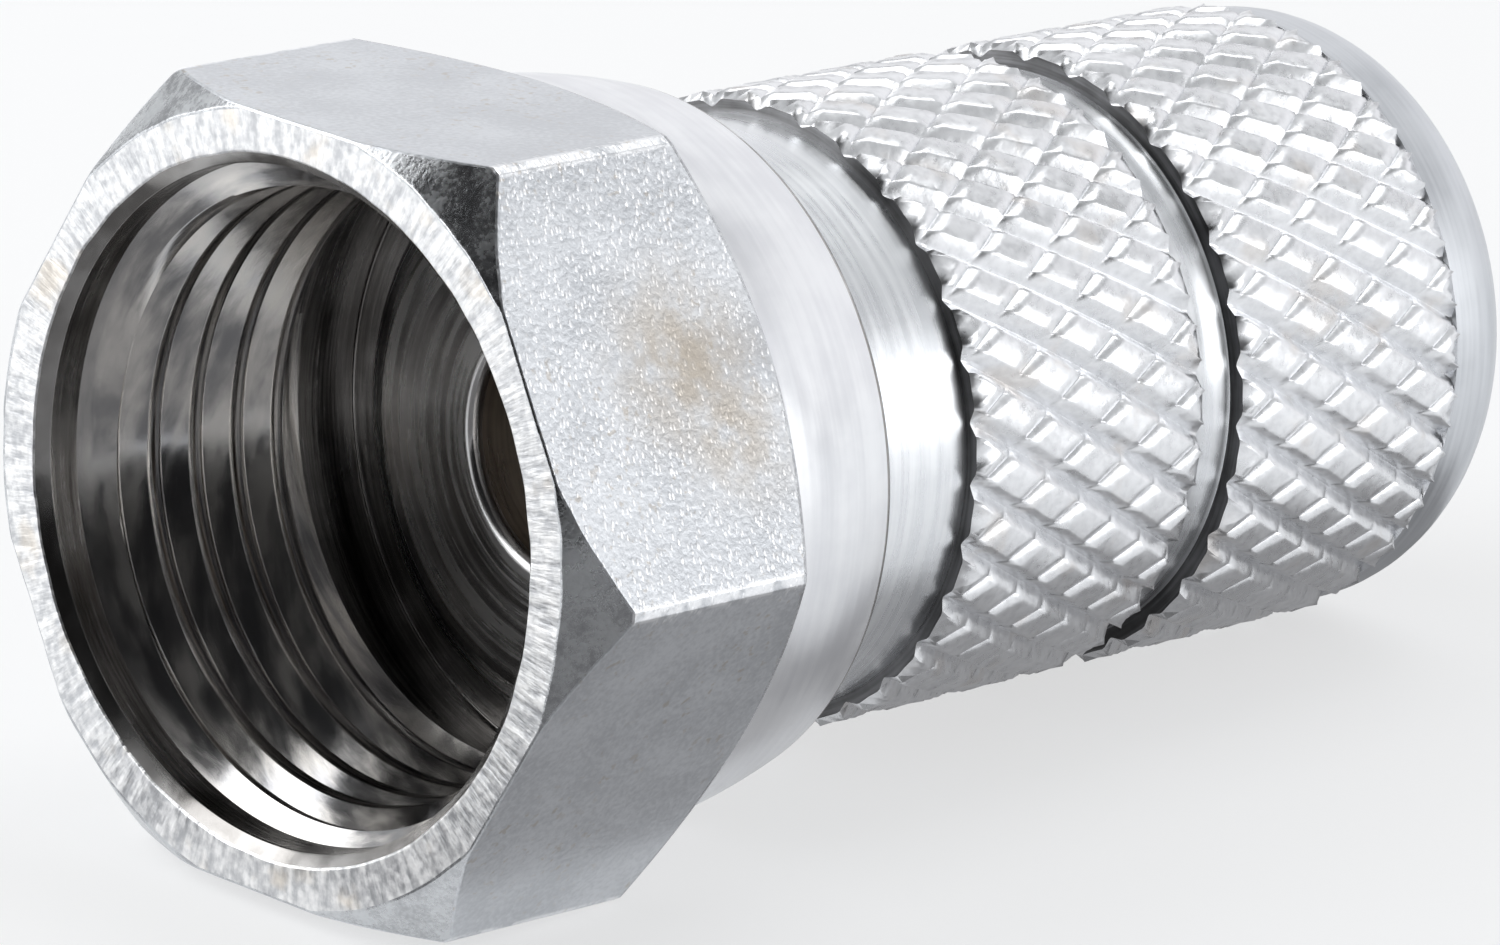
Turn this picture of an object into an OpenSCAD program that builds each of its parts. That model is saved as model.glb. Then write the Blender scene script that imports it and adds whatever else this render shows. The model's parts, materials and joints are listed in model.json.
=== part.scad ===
// Twist-on F connector: a free-turning hexagon coupling nut, a contact ferrule that traps it,
// and a knurled body that screws onto the cable's jacket.
// The axis lies along X, with the cable end towards +X and one flat of the nut facing +Z.
// The origin is the centre of the contact face, where the mating port's end seats.

/* [Coupling nut] */
// Width of the hexagon across its flats
nut_af = 11; // [10.97:0.01:11.1]
// Diameter at which the hexagon's corners are turned off
nut_corner_d = 12.62; // [12.4:0.02:12.66]
// Length of the nut from its mouth to its rear face
nut_len = 6.95; // [6.8:0.05:7.4]
// Outer diameter of the flat ring round the mouth
nut_face_d = 11.2; // [10.9:0.05:11.3]
// Distance from the mouth to where the hexagon's corners end
nut_corner_end = 4; // [3.6:0.05:4.3]
// Distance from the mouth to where the turned shoulder begins
nut_shoulder_start = 4.62; // [4.5:0.02:4.9]
// Diameter of the turned shoulder at the hexagon
nut_shoulder_front_d = 10.92; // [10.8:0.02:10.94]
// Diameter of the turned shoulder at the rear face
nut_shoulder_rear_d = 10.12; // [10:0.02:10.4]
// Radius of the shoulder's outward bulge along the axis
nut_shoulder_bulge_r = 11; // [8:0.5:30]
// Radius of the edge between the shoulder and the rear face
nut_rear_edge_r = 0.12; // [0.05:0.01:0.2]

/* [Port thread] */
// Diameter of the thread's crests, which is the plain bore of the thread here
thread_minor_d = 8.74; // [8.66:0.02:8.9]
// Diameter of the plain lead-in in front of the thread
thread_lead_d = 9.6; // [9.54:0.02:9.7]
// Diameter of the mouth's bevel at the front face
thread_mouth_d = 9.98; // [9.8:0.02:10.1]
// Distance from the mouth to the first turn
thread_start = 0.62; // [0.4:0.02:0.8]
// Length of the thread along the axis
thread_len = 4.35; // [4:0.05:4.5]
// Diameter of the clear space behind the thread
relief_d = 9.7; // [9.62:0.02:9.8]
// Thickness of the lip that holds the nut on the ferrule
lip_t = 0.85; // [0.7:0.05:1]

/* [Contact ferrule] */
// Distance from the nut's mouth to the contact face
contact_depth = 5.57; // [5.4:0.01:5.6]
// Diameter of the flat contact face
contact_d = 7.42; // [7.2:0.02:7.8]
// Diameter of the head that the nut's lip pulls on
head_d = 8.5; // [8.2:0.05:8.6]
// Thickness of the head's rim behind its bevel
head_rim_t = 0.16; // [0.1:0.02:0.2]
// Diameter of the neck that the nut turns on
neck_d = 7.4; // [7:0.05:7.6]
// Bore for the cable's inner insulation
insulation_d = 3.7; // [3.4:0.05:4]
// Diameter of the spigot pressed into the body
spigot_d = 5.2; // [4.8:0.05:5.4]
// Length of the spigot
spigot_len = 2; // [1.6:0.1:2.1]

/* [Knurled body] */
// Length of the body from the nut to the cable end
body_len = 14.2; // [13.6:0.1:15]
// Diameter of the smooth collar behind the nut
collar_d = 8.62; // [8.4:0.02:8.7]
// Length of the smooth collar
collar_len = 2.25; // [2:0.05:2.4]
// Length of each knurled band
band_len = 4.72; // [4.4:0.04:4.8]
// Width of the groove between the two bands
groove_w = 0.86; // [0.6:0.02:1]
// Diameter at the bottom of the groove
groove_d = 8.52; // [8.4:0.02:8.7]
// Diameter of the smooth end behind the second band
tail_d = 9; // [8.9:0.02:9.1]
// Radius of the rounded edge at the cable end
tail_round_r = 1.2; // [0.8:0.1:1.2]
// Bore for the cable's jacket, at the crests of its coarse thread
jacket_d = 5.9; // [5.6:0.05:6]
// Diameter of the bevel at the mouth of the cable bore
jacket_mouth_d = 6.5; // [6.3:0.05:6.6]

/* [Knurl] */
// Diameter over the crests of the knurl
knurl_d = 9.24; // [9.16:0.02:9.3]
// Depth of the knurl's grooves
knurl_depth = 0.22; // [0.16:0.01:0.24]
// Number of grooves round the body in each direction
knurl_count = 31; // [28:1:32]
// Distance along the axis from one crossing of grooves to the next
knurl_cell = 1.57; // [1.4:0.01:1.7]
// Width of a pad's flat top, as a share of its pitch
knurl_top = 0.5; // [0.4:0.02:0.6]

/* [Fits] */
// Gap all round between the ferrule's neck and the nut's lip
turning_gap = 0.05; // [0.02:0.01:0.1]
// Gap along the axis on each side of the nut's lip
end_gap = 0.05; // [0.03:0.01:0.1]

/* [Hidden] */
nickel = [0.78, 0.78, 0.8];
dull_nickel = [0.66, 0.65, 0.64];
bright_nickel = [0.84, 0.84, 0.86];
// Circles with this many sides or more are true circles
smooth = 96;
// How far a cutting shape runs past the face it opens
over = 1;
// How far joined solids reach into each other
sink = 0.05;

// Stations along X
mouth_x = -contact_depth;
nut_rear_x = mouth_x + nut_len;
lip_x = nut_rear_x - lip_t;
head_rear_x = lip_x - end_gap;
body_x = nut_rear_x + end_gap;
collar_end_x = body_x + collar_len;
band_1_end_x = collar_end_x + band_len;
band_2_x = band_1_end_x + groove_w;
tail_x = band_2_x + band_len;
body_end_x = body_x + body_len;
spigot_end_x = body_x + spigot_len;

// The knurl's grooves meet the ends of a band at a crossing, so a band holds whole half-cells
knurl_rows = max(2, round(2 * band_len / knurl_cell));
row_len = band_len / knurl_rows;
valley_r = knurl_d / 2 - knurl_depth;
// The tail's rounded edge leaves a narrow flat ring round the mouth of the cable bore
end_flat = 0.05;
tail_round = min(tail_round_r, (tail_d - jacket_mouth_d) / 2 - end_flat);
// Radius of the solid core under the grooves
core_d = 2 * valley_r - 0.06;

// Turns a solid drawn along Z so that it lies along X, starting at x
module lay(x = 0) {
    translate([x, 0, 0]) rotate([0, 90, 0]) children();
}

// A cylinder from x1 to x2 along X
module rod(x1, x2, d) {
    lay(x1) cylinder(h = x2 - x1, d = d, $fn = smooth);
}

// A cone from x1 to x2 along X
module taper(x1, x2, d1, d2) {
    lay(x1) cylinder(h = x2 - x1, d1 = d1, d2 = d2, $fn = smooth);
}

// The hexagon bar with its corners turned off, bevelled in front and behind
module hexagon_head() {
    corner_r = nut_corner_d / 2;
    bevel = corner_r - nut_face_d / 2;
    rear_fall = corner_r - nut_shoulder_front_d / 2;
    rear_run = nut_shoulder_start - nut_corner_end;
    // Carries the rear cone on down to the shoulder's inside
    more = 0.5;
    lay(mouth_x) intersection() {
        rotate(30) cylinder(h = nut_len, d = nut_af / cos(30), $fn = 6);
        rotate_extrude($fn = smooth) polygon([
            [0, 0],
            [nut_face_d / 2, 0],
            [corner_r, bevel],
            [corner_r, nut_corner_end],
            [corner_r - rear_fall * (1 + more), nut_corner_end + rear_run * (1 + more)],
            [0, nut_corner_end + rear_run * (1 + more)]
        ]);
    }
}

// The turned shoulder, bulging a little, with a rounded rear edge
module shoulder() {
    front_r = nut_shoulder_front_d / 2;
    rear_r = nut_shoulder_rear_d / 2;
    run = nut_len - nut_shoulder_start;
    fall = front_r - rear_r;
    chord = sqrt(run * run + fall * fall);
    reach = sqrt(nut_shoulder_bulge_r * nut_shoulder_bulge_r - chord * chord / 4);
    // Centre of the bulge's circle, as radius and distance from the mouth
    centre_r = (front_r + rear_r) / 2 - reach * run / chord;
    centre_z = nut_shoulder_start + run / 2 - reach * fall / chord;
    edge = nut_rear_edge_r;
    start = nut_shoulder_start - sink;
    lay(mouth_x) rotate_extrude($fn = smooth) intersection() {
        translate([centre_r, centre_z]) circle(r = nut_shoulder_bulge_r, $fn = 360);
        union() {
            translate([0, start]) square([nut_af, nut_len - start - edge]);
            translate([0, start]) square([rear_r - edge, nut_len - start]);
            translate([rear_r - edge, nut_len - edge]) circle(r = edge, $fn = smooth);
        }
    }
}

// One turned piece: hexagon, shoulder, port thread's bore and the lip behind it
module coupling_nut() {
    color(nickel) difference() {
        union() {
            hexagon_head();
            shoulder();
        }
        bevel = (thread_mouth_d - thread_lead_d) / 2;
        thread_x = mouth_x + thread_start;
        taper(mouth_x, mouth_x + bevel, thread_mouth_d, thread_lead_d);
        rod(mouth_x - over, mouth_x, thread_mouth_d);
        rod(mouth_x, thread_x, thread_lead_d);
        rod(mouth_x, lip_x - sink, thread_minor_d);
        rod(thread_x + thread_len, lip_x, relief_d);
        rod(lip_x - over, nut_rear_x + over, neck_d + 2 * turning_gap);
    }
}

// The ferrule: a bevelled head, the neck that the nut turns on, and a spigot in the body
module contact_ferrule() {
    color(dull_nickel) difference() {
        union() {
            taper(0, head_rear_x - head_rim_t, contact_d, head_d);
            rod(head_rear_x - head_rim_t, head_rear_x, head_d);
            rod(head_rear_x - sink, body_x, neck_d);
            rod(body_x - sink, spigot_end_x, spigot_d);
        }
        rod(-over, spigot_end_x + over, insulation_d);
    }
}

// A point of the knurl: ring is the row along the axis, step the half-pitch round it
function knurl_point(x, row, step, r) =
    let (turn = step * 180 / knurl_count)
    [x + row * row_len, -r * cos(turn), r * sin(turn)];

// One band of diamond knurl as a closed solid. Grooves cross where row + step is even, and a
// raised pad with a flat top lies where it is odd. Pads at the two ends are cut in half.
module knurl_band(x) {
    steps = 2 * knurl_count;
    top_r = knurl_d / 2;
    half = knurl_top;
    // Crossings of grooves, two steps apart in each row
    crossings = [for (row = [0 : knurl_rows]) for (i = [0 : knurl_count - 1])
        knurl_point(x, row, 2 * i + row % 2, valley_r)];
    // Four corners of each pad's top: front, right, rear and left, clipped to the band
    pads = [for (row = [0 : knurl_rows]) for (i = [0 : knurl_count - 1])
        let (step = 2 * i + 1 - row % 2)
        each [
            knurl_point(x, max(0, row - half), step, top_r),
            knurl_point(x, row, step + half, top_r),
            knurl_point(x, min(knurl_rows, row + half), step, top_r),
            knurl_point(x, row, step - half, top_r)
        ]];
    first_pad = len(crossings);
    hub_front = first_pad + len(pads);
    hub_rear = hub_front + 1;
    hubs = [[x, 0, 0], [x + band_len, 0, 0]];
    // Index of the crossing at this row and step
    function cross_at(row, step) =
        row * knurl_count + floor(((step - row % 2 + 2 * steps) % steps) / 2);
    faces = [for (row = [0 : knurl_rows]) for (i = [0 : knurl_count - 1])
        let (
            step = 2 * i + 1 - row % 2,
            pad = first_pad + 4 * (row * knurl_count + i),
            front = pad, right = pad + 1, rear = pad + 2, left = pad + 3,
            at_front = row == 0,
            at_rear = row == knurl_rows,
            c_right = cross_at(row, step + 1),
            c_left = cross_at(row, step - 1)
        )
        each concat(
            [at_front ? [left, right, rear] : at_rear ? [left, front, right] : [front, right, rear, left]],
            at_front ? [[c_left, hub_front, c_right, right, left]] :
                [[front, cross_at(row - 1, step), c_right, right],
                 [left, c_left, cross_at(row - 1, step), front]],
            at_rear ? [[c_right, hub_rear, c_left, left, right]] :
                [[right, c_right, cross_at(row + 1, step), rear],
                 [rear, cross_at(row + 1, step), c_left, left]]
        )];
    polyhedron(concat(crossings, pads, hubs), faces);
}

// One turned piece: collar, two knurled bands with a groove between them, and a rounded tail
module knurled_body() {
    color(bright_nickel) difference() {
        union() {
            rod(body_x, collar_end_x + sink, collar_d);
            rod(collar_end_x, tail_x + sink, min(core_d, groove_d));
            knurl_band(collar_end_x);
            rod(band_1_end_x - sink, band_2_x + sink, groove_d);
            knurl_band(band_2_x);
            lay() rotate_extrude($fn = smooth) tail_outline();
        }
        rod(body_x - over, spigot_end_x + sink, spigot_d);
        rod(spigot_end_x, body_end_x + over, jacket_d);
        mouth = (jacket_mouth_d - jacket_d) / 2;
        taper(body_end_x - mouth, body_end_x, jacket_d, jacket_mouth_d);
    }
}

// Half section of the smooth end with its rounded edge, as radius and distance along the axis
module tail_outline() {
    flat_r = tail_d / 2 - tail_round;
    translate([0, tail_x - sink]) square([tail_d / 2, body_end_x - tail_round - tail_x + sink]);
    translate([0, tail_x - sink]) square([flat_r, body_end_x - tail_x + sink]);
    translate([flat_r, body_end_x - tail_round]) circle(r = tail_round, $fn = smooth);
}

coupling_nut();
contact_ferrule();
knurled_body();
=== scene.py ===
"""Looks of a twist-on F connector: a free-turning hexagon nut, the ferrule that traps it and a knurled body.

The connector lies along X with its cable end towards +X. Lengths in this file are millimetres unless a
name says otherwise, and meshes are turned into metres when they are made.
"""
import json
import logging
import math
from collections.abc import Callable, Sequence
from dataclasses import dataclass, field
from enum import Enum

import bmesh
import bpy
import numpy as np
from mathutils import Matrix, Vector, noise


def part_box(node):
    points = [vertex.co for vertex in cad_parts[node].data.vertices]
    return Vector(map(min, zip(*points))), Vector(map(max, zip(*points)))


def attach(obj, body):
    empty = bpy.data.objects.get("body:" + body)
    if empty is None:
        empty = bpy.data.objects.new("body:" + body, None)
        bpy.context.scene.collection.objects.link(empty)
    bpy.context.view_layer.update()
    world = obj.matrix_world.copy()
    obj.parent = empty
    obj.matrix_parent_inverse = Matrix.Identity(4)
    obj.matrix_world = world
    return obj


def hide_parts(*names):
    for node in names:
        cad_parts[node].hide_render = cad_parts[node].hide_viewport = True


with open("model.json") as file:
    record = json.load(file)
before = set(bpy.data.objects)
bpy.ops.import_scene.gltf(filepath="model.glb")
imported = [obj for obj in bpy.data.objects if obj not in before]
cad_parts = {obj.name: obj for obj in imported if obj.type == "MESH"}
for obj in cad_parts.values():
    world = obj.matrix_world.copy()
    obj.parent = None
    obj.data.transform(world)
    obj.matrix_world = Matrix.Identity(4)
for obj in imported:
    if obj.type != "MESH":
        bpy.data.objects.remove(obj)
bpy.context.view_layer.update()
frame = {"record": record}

LOG = logging.getLogger("f_connector")
MM = 0.001
# Vertices nearer to each other than this are one, in metres
WELD = 1e-6
# Edges that turn more than this stay sharp when a mesh is shaded
CREASE = math.radians(38)
# Spans in each rounded corner of a profile, and the points that such a corner has in all
ROUND_SPANS = 3
CORNER_POINTS = ROUND_SPANS + 3
# Keeps the part of a place that lies across the connector's axis
ACROSS = (0, 1, 1)
# The smooth tail behind the last row of pads
TAIL_LEN = 1.65

Socket = bpy.types.NodeSocket


class Node(Enum):
    """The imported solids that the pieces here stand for."""

    NUT = "coupling_nut"
    FERRULE = "contact_ferrule"
    BODY = "knurled_body"


class Zone(Enum):
    """Kinds of surface on the metal, each with its own finish."""

    RIM = 0
    CHAMFER = 1
    FLAT = 2
    TURNED = 3
    BORE = 4
    THREAD = 5


@dataclass(frozen=True)
class Reach:
    """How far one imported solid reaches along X, and how far out from the axis."""

    start: float
    end: float
    side: float
    top: float

    @classmethod
    def of(cls, node: Node) -> "Reach":
        """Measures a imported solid.

        Args:
            node: The solid to measure.

        Returns:
            Its reach in millimetres.
        """
        low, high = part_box(node.value)
        return cls(low.x / MM, high.x / MM, high.y / MM, high.z / MM)


def mount_size(name: str, size: str) -> float:
    """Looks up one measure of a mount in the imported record.

    Args:
        name: The mount's name.
        size: The measure's name, such as r_mm.

    Returns:
        The measure in millimetres.
    """
    mounts = {mount["name"]: mount for mount in frame["record"]["mounts"]}
    return float(mounts[name]["dims"][size])


def placed(name: str, data: bpy.types.ID) -> bpy.types.Object:
    """Makes an object and puts it in the scene.

    Args:
        name: The object's name.
        data: The mesh, light or camera that it shows.

    Returns:
        The object, at the origin.
    """
    made = bpy.data.objects.new(name, data)
    bpy.context.scene.collection.objects.link(made)
    return made


# ---------------------------------------------------------------- profiles and meshes


def rounded(corners: np.ndarray, radii: Sequence[float], steps: int = ROUND_SPANS) -> np.ndarray:
    """Rounds the corners of closed profiles, with a holding point at each end of every curve.

    Args:
        corners: Array of shape (columns, corners, 2), each row one closed profile.
        radii: Edge radius at each corner.
        steps: Spans that each rounded corner is made of.

    Returns:
        Array of shape (columns, corners * (steps + 3), 2).
    """
    # A curve takes no more than this share of a side, and its holding points stand this far off
    share, hold = 0.42, 0.03
    before = np.roll(corners, 1, axis=1) - corners
    after = np.roll(corners, -1, axis=1) - corners
    before_length = np.linalg.norm(before, axis=2, keepdims=True)
    after_length = np.linalg.norm(after, axis=2, keepdims=True)
    to_before = before / np.maximum(before_length, 1e-9)
    to_after = after / np.maximum(after_length, 1e-9)
    cosine = np.clip(np.sum(to_before * to_after, axis=2, keepdims=True), -0.9999, 0.9999)
    tangent = np.asarray(radii)[None, :, None] * np.sqrt((1 + cosine) / (1 - cosine))
    limit = share * np.minimum(before_length, after_length)
    tangent = np.minimum(tangent, limit)
    held = np.minimum(tangent + hold, limit)
    start, end = corners + to_before * tangent, corners + to_after * tangent
    points = [corners + to_before * held]
    for step in range(steps + 1):
        t = step / steps
        points.append((1 - t) ** 2 * start + 2 * t * (1 - t) * corners + t * t * end)
    points.append(corners + to_after * held)
    return np.stack(points, axis=2).reshape(corners.shape[0], -1, 2)


def turned(profile: np.ndarray, angles: np.ndarray) -> np.ndarray:
    """Places each column's profile round the X axis.

    Args:
        profile: Array of shape (columns, points, 2) of station along X and distance from the axis.
        angles: The columns' angles in degrees, counted from -Y towards +Z.

    Returns:
        Points of shape (columns, points, 3).
    """
    turn = np.radians(angles)[:, None]
    x, r = profile[..., 0], profile[..., 1]
    return np.stack([x, -r * np.cos(turn), r * np.sin(turn)], axis=2)


def repeated(points: Sequence[tuple[float, float]], count: int) -> np.ndarray:
    """The same profile at every column.

    Args:
        points: The profile's points.
        count: How many columns there are.

    Returns:
        Array of shape (count, points, 2).
    """
    return np.repeat(np.array([points], dtype=float), count, axis=0)


def wave(points: np.ndarray, scale: float, seed: float) -> np.ndarray:
    """Smooth noise at each point.

    Args:
        points: Array of shape (n, 3) in millimetres.
        scale: Waves to the millimetre.
        seed: Shift that tells one noise from another.

    Returns:
        n values between -1 and 1.
    """
    shift = Vector((seed, 1.7 * seed, -2.3 * seed))
    return np.array([noise.noise(Vector(point) * scale + shift) for point in points])


@dataclass
class Shell:
    """Quads and triangles gathered from several surfaces, to be welded into one closed mesh."""

    points: list[np.ndarray] = field(default_factory=list)
    faces: list[list[int]] = field(default_factory=list)
    zones: list[int] = field(default_factory=list)
    count: int = 0

    def add(self, points: np.ndarray, faces: Sequence[Sequence[int]], zone: Zone | Sequence[int]) -> None:
        """Adds a surface.

        Args:
            points: Array of shape (n, 3) in millimetres.
            faces: Each face's indices into points.
            zone: One zone for the whole surface, or each face's zone number.
        """
        self.points.append(points)
        self.faces.extend([index + self.count for index in face] for face in faces)
        self.zones.extend([zone.value] * len(faces) if isinstance(zone, Zone) else zone)
        self.count += len(points)

    def add_grid(self, grid: np.ndarray, zone: Zone | Sequence[Zone]) -> None:
        """Adds a surface given as columns that close on themselves round the axis.

        Args:
            grid: Array of shape (columns, points, 3).
            zone: One zone, or the zone of each span between two points of a column.
        """
        columns, rows = grid.shape[:2]
        spans = [zone] * (rows - 1) if isinstance(zone, Zone) else list(zone)
        faces, zones = [], []
        for column in range(columns):
            here, there = column * rows, (column + 1) % columns * rows
            for row in range(rows - 1):
                faces.append([here + row, here + row + 1, there + row + 1, there + row])
                zones.append(spans[row].value)
        self.add(grid.reshape(-1, 3), faces, zones)

    def mesh(self, name: str, ripple: Callable[[np.ndarray], np.ndarray] | None = None,
             crease: float = CREASE) -> bpy.types.Object:
        """Welds everything into one closed mesh with outward normals.

        Args:
            name: The new object's name.
            ripple: Gives each point's small shift in millimetres, for a surface that isn't perfect.
            crease: The angle in radians from which an edge inside one zone looks sharp.

        Returns:
            The object, in metres, at the origin.
        """
        data = bpy.data.meshes.new(name)
        data.from_pydata((np.concatenate(self.points) * MM).tolist(), [], self.faces)
        data.polygons.foreach_set("material_index", self.zones)
        work = bmesh.new()
        work.from_mesh(data)
        bmesh.ops.remove_doubles(work, verts=work.verts, dist=WELD)
        bmesh.ops.dissolve_degenerate(work, edges=work.edges, dist=WELD)
        bmesh.ops.recalc_face_normals(work, faces=work.faces)
        if work.calc_volume(signed=True) < 0:
            bmesh.ops.reverse_faces(work, faces=work.faces)
        if ripple is not None:
            work.verts.ensure_lookup_table()
            places = np.array([vertex.co for vertex in work.verts]) / MM
            for vertex, shift in zip(work.verts, ripple(places)):
                vertex.co += Vector(shift) * MM
        open_edges = sum(1 for edge in work.edges if len(edge.link_faces) != 2)
        LOG.info("%s: %d faces, %d edges not shared by two faces", name, len(work.faces), open_edges)
        for face in work.faces:
            face.smooth = True
        for edge in work.edges:
            zones = {face.material_index for face in edge.link_faces}
            edge.smooth = edge.calc_face_angle(0.0) < (crease if len(zones) == 1 else CREASE / 2)
        work.to_mesh(data)
        work.free()
        return placed(name, data)


def outward(points: np.ndarray, amount: np.ndarray) -> np.ndarray:
    """Shifts that point away from the X axis.

    Args:
        points: Array of shape (n, 3).
        amount: How far each point moves.

    Returns:
        Array of shape (n, 3).
    """
    away = points * np.array([0.0, 1.0, 1.0])
    return away / np.maximum(np.linalg.norm(away, axis=1, keepdims=True), 1e-9) * amount[:, None]


@dataclass(frozen=True)
class HelicalThread:
    """A right-handed inside thread whose ridges rise out of a plain bore and run out at both ends.

    Attributes:
        start: Where the ridge starts along X.
        end: Where it ends.
        root_r: Radius of the plain bore.
        crest_r: Radius at the ridge's crest.
        pitch: Length of one turn along X.
        crest_flat: Width of the crest.
        root_flat: Width of the bore that shows between two turns.
        run_in: Length over which the ridge rises from nothing at its start.
        run_out: Length over which it sinks again at its end.
        phase: The angle in degrees at which the first turn begins.
        filled: How far the root is filled between two turns, as a share of the ridge's height.
        edge: Half the width of the soft edge at each bend of the profile.
    """

    start: float
    end: float
    root_r: float
    crest_r: float
    pitch: float
    crest_flat: float
    root_flat: float
    run_in: float
    run_out: float
    phase: float = 0.0
    filled: float = 0.0
    edge: float = 0.012

    @property
    def per_turn(self) -> int:
        """Points of the profile in one turn."""
        return 8

    def stations(self, angles: np.ndarray) -> np.ndarray:
        """The bore's profile at each column, from start to end.

        Args:
            angles: The columns' angles in degrees, from 0 up to less than 360.

        Returns:
            Array of shape (columns, points, 2) of station and radius.
        """
        flank = (self.pitch - self.crest_flat - self.root_flat) / 2
        knees = np.cumsum([0, flank, self.crest_flat, flank])
        offsets = np.stack([knees - self.edge, knees + self.edge], axis=1).ravel()
        soft = self.edge / flank
        heights = self.filled + (1 - self.filled) * np.array([0, soft, 1 - soft, 1, 1, 1 - soft, soft, 0])
        # Spare turns cover the shift from column to column, and what lies past an end is cut off
        turns = math.ceil((self.end - self.start) / self.pitch) + 3
        base = (np.arange(turns)[:, None] * self.pitch + offsets[None, :]).ravel()
        shape = np.tile(heights, turns)
        lead = self.pitch * ((self.phase - angles) / 360)
        x = self.start - self.pitch + base[None, :] + lead[:, None]
        x = np.clip(x, self.start, self.end)
        rise = np.clip((x - self.start) / self.run_in, 0, 1)
        fall = np.clip((self.end - x) / self.run_out, 0, 1)
        height = np.minimum(shape[None, :], np.minimum(rise, fall))
        r = self.root_r - (self.root_r - self.crest_r) * height
        return np.stack([x, r], axis=2)


def add_threaded(shell: Shell, before: np.ndarray, thread: HelicalThread, after: np.ndarray,
                 angles: np.ndarray, zones: Sequence[Zone], closed: bool) -> None:
    """Adds a turned surface that has a thread part of the way along its profile.

    Args:
        shell: Where the surface goes.
        before: Profile in front of the thread's far end, shape (columns, points, 2).
        thread: The thread, whose stations are followed from its end back to its start.
        after: Profile from the thread's start on, shape (columns, points, 2).
        angles: The columns' angles in degrees.
        zones: The zone of each span along the profile, the thread counting as one.
        closed: True if the profile's last point joins its first.
    """
    ridge = thread.stations(angles)[:, ::-1]
    first = before.shape[1]
    count = ridge.shape[1]
    profile = np.concatenate([before, ridge, after], axis=1)
    columns, rows = profile.shape[:2]
    spans = list(zones[:first]) + [Zone.THREAD] * (count - 1) + [Zone.BORE] + list(zones[first:])
    # At the last column the thread is a whole turn further on than at the first one
    turned_on = np.arange(rows)
    inside = slice(first, first + count)
    turned_on[inside] = np.minimum(turned_on[inside] + thread.per_turn, first + count - 1)
    faces, numbers = [], []
    for column in range(columns):
        last = column == columns - 1
        here, there = column * rows, 0 if last else (column + 1) * rows
        for row in range(rows if closed else rows - 1):
            following = (row + 1) % rows
            near, far = (turned_on[row], turned_on[following]) if last else (row, following)
            faces.append([here + row, here + following, there + int(far), there + int(near)])
            numbers.append(spans[row].value)
    shell.add(turned(profile, angles).reshape(-1, 3), faces, numbers)


# ---------------------------------------------------------------- node trees


class Wiring:
    """Adds nodes to a tree and joins them."""

    def __init__(self, tree: bpy.types.NodeTree) -> None:
        """Takes the tree that the nodes go into.

        Args:
            tree: A material's, a world's or a node group's tree.
        """
        self.tree = tree

    def feed(self, target: Socket, value: object) -> None:
        """Links a socket to an input, or sets the input to a plain value.

        Args:
            target: The input.
            value: A socket, a number or numbers, or None to leave the input as it is.
        """
        if isinstance(value, Socket):
            self.tree.links.new(value, target)
        elif value is not None:
            target.default_value = value

    def node(self, kind: str, **settings: object) -> bpy.types.Node:
        """Adds a node, sets its properties, and feeds its inputs where a name starts with in_.

        Args:
            kind: The node's type.
            settings: Properties, and inputs by number as in_0 or by name as in_From_Min.

        Returns:
            The node.
        """
        made = self.tree.nodes.new(kind)
        for name, value in settings.items():
            if name.startswith("in_"):
                key = name[3:].replace("_", " ")
                self.feed(made.inputs[int(key) if key.isdigit() else key], value)
            else:
                setattr(made, name, value)
        return made

    def math(self, operation: str, first: Socket | float, second: Socket | float | None = None) -> Socket:
        """Arithmetic on one or two values.

        Args:
            operation: The Math node's operation.
            first: Its first value.
            second: Its second value, if it takes one.

        Returns:
            The result's socket.
        """
        return self.node("ShaderNodeMath", operation=operation, in_0=first, in_1=second).outputs[0]

    def vector(self, operation: str, first: Socket, second: object = None) -> Socket:
        """Arithmetic on one or two vectors.

        Args:
            operation: The Vector Math node's operation.
            first: Its first vector.
            second: Its second vector, or the factor of SCALE.

        Returns:
            The result's socket, a number for LENGTH, DISTANCE and DOT_PRODUCT.
        """
        made = self.node("ShaderNodeVectorMath", operation=operation, in_0=first)
        self.feed(made.inputs["Scale" if operation == "SCALE" else 1], second)
        return made.outputs["Value" if operation in ("LENGTH", "DISTANCE", "DOT_PRODUCT") else "Vector"]


# ---------------------------------------------------------------- finishes


class Grain(Enum):
    """How the marks in a metal surface lie."""

    SATIN = "satin"
    RINGS = "rings"
    SPOKES = "spokes"
    CAST = "cast"


@dataclass(frozen=True)
class Stain:
    """A soft warm patch on the plating, at a place in millimetres."""

    place: tuple[float, float, float]
    size: float
    strength: float


@dataclass(frozen=True)
class Fade:
    """Noise that fades in from none to all between two limits. Its scale is in waves to the millimetre."""

    scale: float
    detail: float
    low: float
    high: float


WARM_TONE = Fade(1.1, 3.0, 0.56, 0.72)
STAIN_BREAKS = Fade(2.2, 5.0, 0.22, 0.62)
EDGE_HIGHLIGHT_BREAKS = Fade(3.0, 4.0, 0.36, 0.56)
SPECKS_KEPT = Fade(5.4, 3.0, 0.30, 0.48)
GRIME_SPOTS = Fade(7.0, 4.0, 0.58, 0.70)
GRIME_AREAS = Fade(0.6, 2.0, 0.42, 0.60)


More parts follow.
